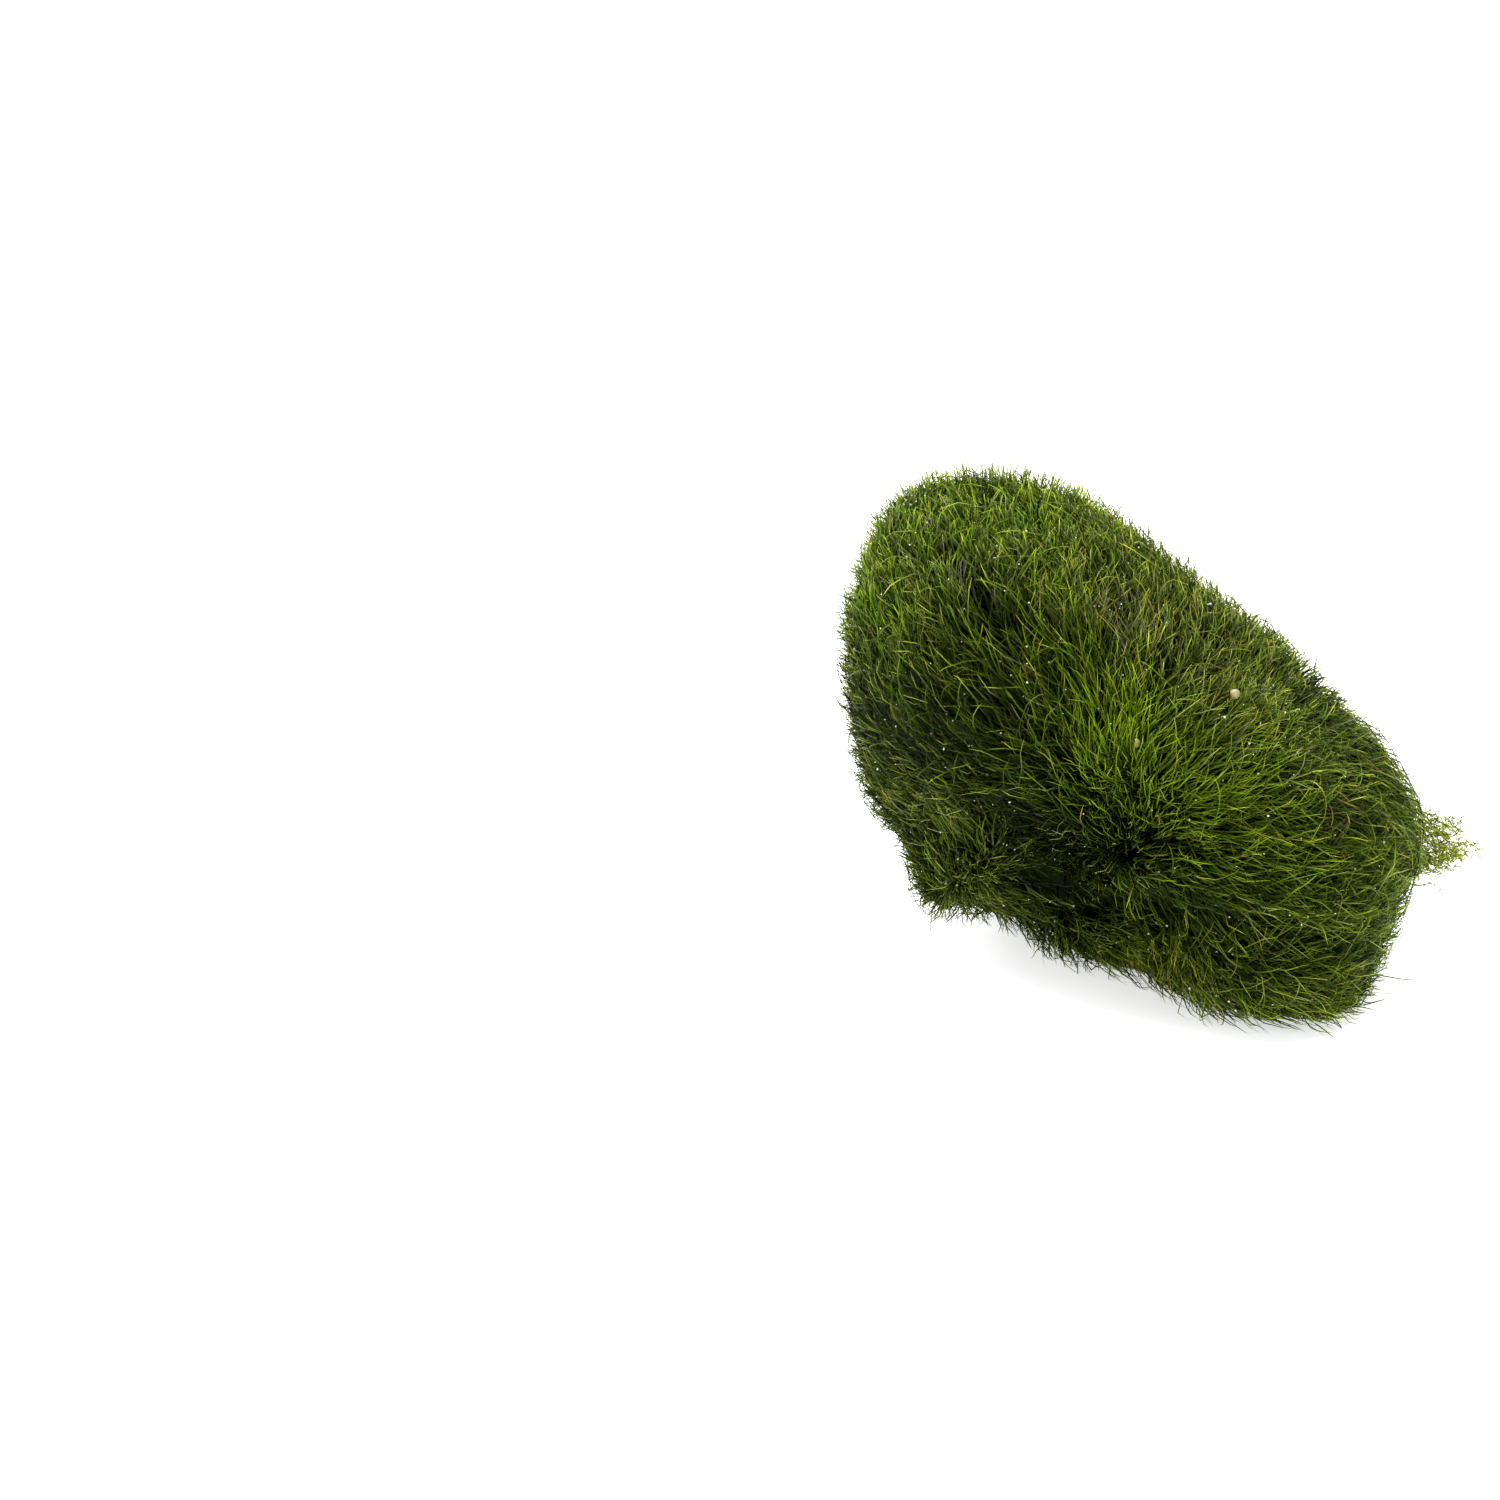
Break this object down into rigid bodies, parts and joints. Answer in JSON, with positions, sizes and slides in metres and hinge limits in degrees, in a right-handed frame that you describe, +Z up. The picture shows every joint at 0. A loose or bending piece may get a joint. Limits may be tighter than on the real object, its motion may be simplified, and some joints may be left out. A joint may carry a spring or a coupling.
{
  "type": "marimo moss ball",
  "caption": "Slightly flattened ball of long green algae threads, combed outward from a whorl, resting on one flat spot of its underside.",
  "frame": {"origin": "centre of the bounding box in plan, at the height of the flat spot it rests on", "axes": "+Z up, +X along the long side of the broad face, the broad face looks towards -Y and leans back"},
  "size_m": [0.0578, 0.0444, 0.0441],
  "materials": {
    "moss": "wet green algae threads, soft and fuzzy, slightly glossy, with paler tips"
  },
  "bodies": {
    "root": {"moss_ball": "moss"}
  },
  "joints": []
}
